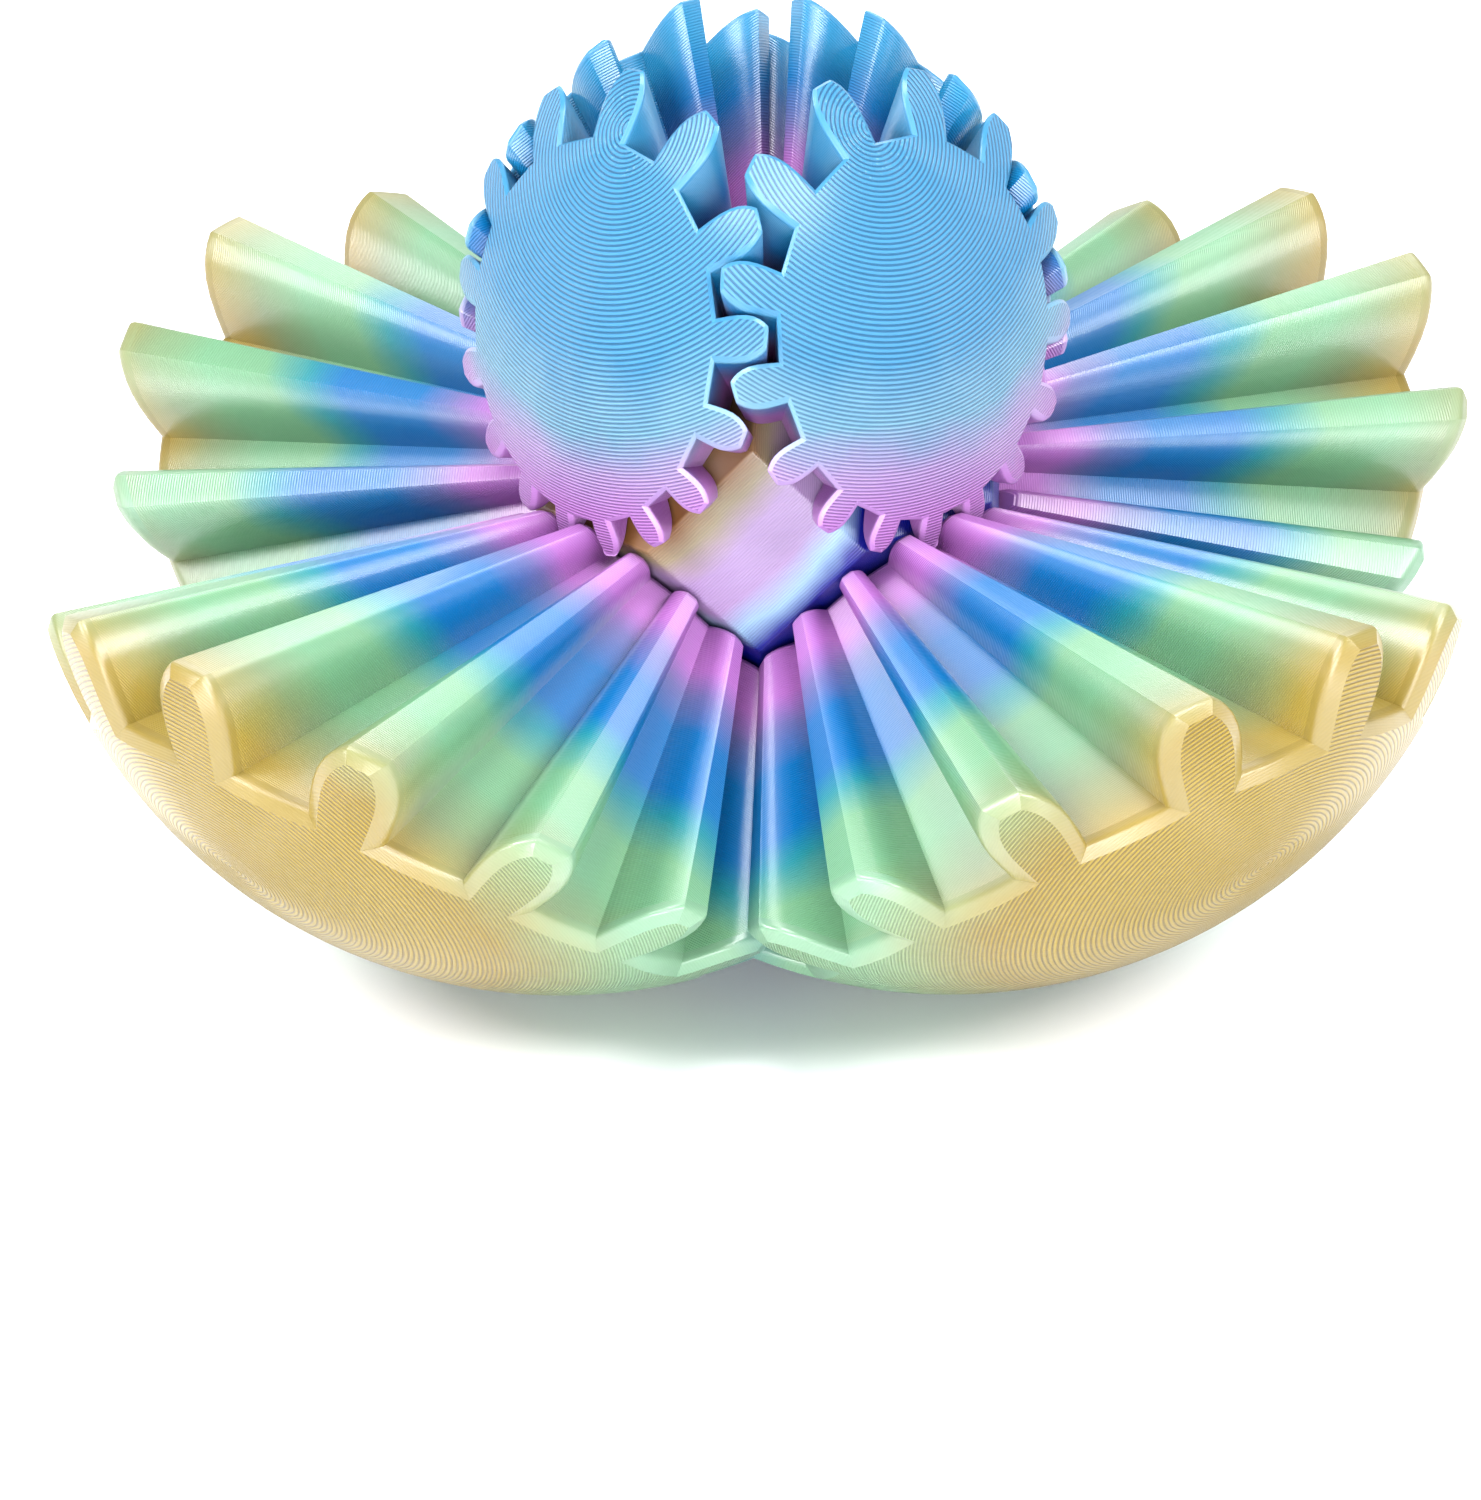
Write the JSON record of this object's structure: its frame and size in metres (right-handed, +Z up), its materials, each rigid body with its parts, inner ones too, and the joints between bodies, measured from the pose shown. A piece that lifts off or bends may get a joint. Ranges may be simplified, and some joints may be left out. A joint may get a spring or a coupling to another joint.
{
  "type": "gear ball fidget toy",
  "caption": "Ball of meshing bevel gears snapped on to the corners of a small core; turning one gear turns all of them and opens the ball into a flower of lobes.",
  "frame": {"origin": "on the ground, straight under the centre of the core, at the lowest points of the lower gears' domes", "axes": "+Z up, along the line of symmetry of the opened ball; -Y faces the front, square to one of the core's square faces; +X to the right"},
  "size_m": [0.1246, 0.1246, 0.0792],
  "materials": {
    "core_plastic": "satin",
    "short_gear_plastic": "satin",
    "long_gear_plastic": "satin",
    "pin_plastic": "satin"
  },
  "bodies": {
    "core_and_pins": {"core": "core_plastic", "pin_upper_front_left": "pin_plastic", "pin_upper_front_right": "pin_plastic", "pin_upper_back_left": "pin_plastic", "pin_upper_back_right": "pin_plastic", "pin_lower_front_left": "pin_plastic", "pin_lower_front_right": "pin_plastic", "pin_lower_back_left": "pin_plastic", "pin_lower_back_right": "pin_plastic"},
    "gear_upper_front_left": {"gear_upper_front_left": "short_gear_plastic"},
    "gear_upper_front_right": {"gear_upper_front_right": "short_gear_plastic"},
    "gear_upper_back_left": {"gear_upper_back_left": "short_gear_plastic"},
    "gear_upper_back_right": {"gear_upper_back_right": "short_gear_plastic"},
    "gear_lower_front_left": {"gear_lower_front_left": "long_gear_plastic"},
    "gear_lower_front_right": {"gear_lower_front_right": "long_gear_plastic"},
    "gear_lower_back_left": {"gear_lower_back_left": "long_gear_plastic"},
    "gear_lower_back_right": {"gear_lower_back_right": "long_gear_plastic"}
  },
  "joints": [
    {"name": "turn_lower_front_left", "type": "hinge", "parent": "core_and_pins", "child": "gear_lower_front_left", "pos_m": [0, 0, 0.03913], "axis": [-0.5774, -0.5774, -0.5774], "continuous": true},
    {"name": "turn_upper_front_left", "type": "hinge", "parent": "core_and_pins", "child": "gear_upper_front_left", "pos_m": [0, 0, 0.03913], "axis": [-0.5774, -0.5774, 0.5774], "continuous": true},
    {"name": "turn_upper_front_right", "type": "hinge", "parent": "core_and_pins", "child": "gear_upper_front_right", "pos_m": [0, 0, 0.03913], "axis": [0.5774, -0.5774, 0.5774], "continuous": true},
    {"name": "turn_upper_back_left", "type": "hinge", "parent": "core_and_pins", "child": "gear_upper_back_left", "pos_m": [0, 0, 0.03913], "axis": [-0.5774, 0.5774, 0.5774], "continuous": true},
    {"name": "turn_upper_back_right", "type": "hinge", "parent": "core_and_pins", "child": "gear_upper_back_right", "pos_m": [0, 0, 0.03913], "axis": [0.5774, 0.5774, 0.5774], "continuous": true},
    {"name": "turn_lower_front_right", "type": "hinge", "parent": "core_and_pins", "child": "gear_lower_front_right", "pos_m": [0, 0, 0.03913], "axis": [0.5774, -0.5774, -0.5774], "continuous": true},
    {"name": "turn_lower_back_left", "type": "hinge", "parent": "core_and_pins", "child": "gear_lower_back_left", "pos_m": [0, 0, 0.03913], "axis": [-0.5774, 0.5774, -0.5774], "continuous": true},
    {"name": "turn_lower_back_right", "type": "hinge", "parent": "core_and_pins", "child": "gear_lower_back_right", "pos_m": [0, 0, 0.03913], "axis": [0.5774, 0.5774, -0.5774], "continuous": true}
  ],
  "couplings": [
    {"joint": "turn_upper_front_left", "follows": "turn_lower_front_left", "ratio": -1},
    {"joint": "turn_upper_front_right", "follows": "turn_lower_front_left", "ratio": 1},
    {"joint": "turn_upper_back_left", "follows": "turn_lower_front_left", "ratio": 1},
    {"joint": "turn_upper_back_right", "follows": "turn_lower_front_left", "ratio": -1},
    {"joint": "turn_lower_front_right", "follows": "turn_lower_front_left", "ratio": -1},
    {"joint": "turn_lower_back_left", "follows": "turn_lower_front_left", "ratio": -1},
    {"joint": "turn_lower_back_right", "follows": "turn_lower_front_left", "ratio": 1}
  ]
}
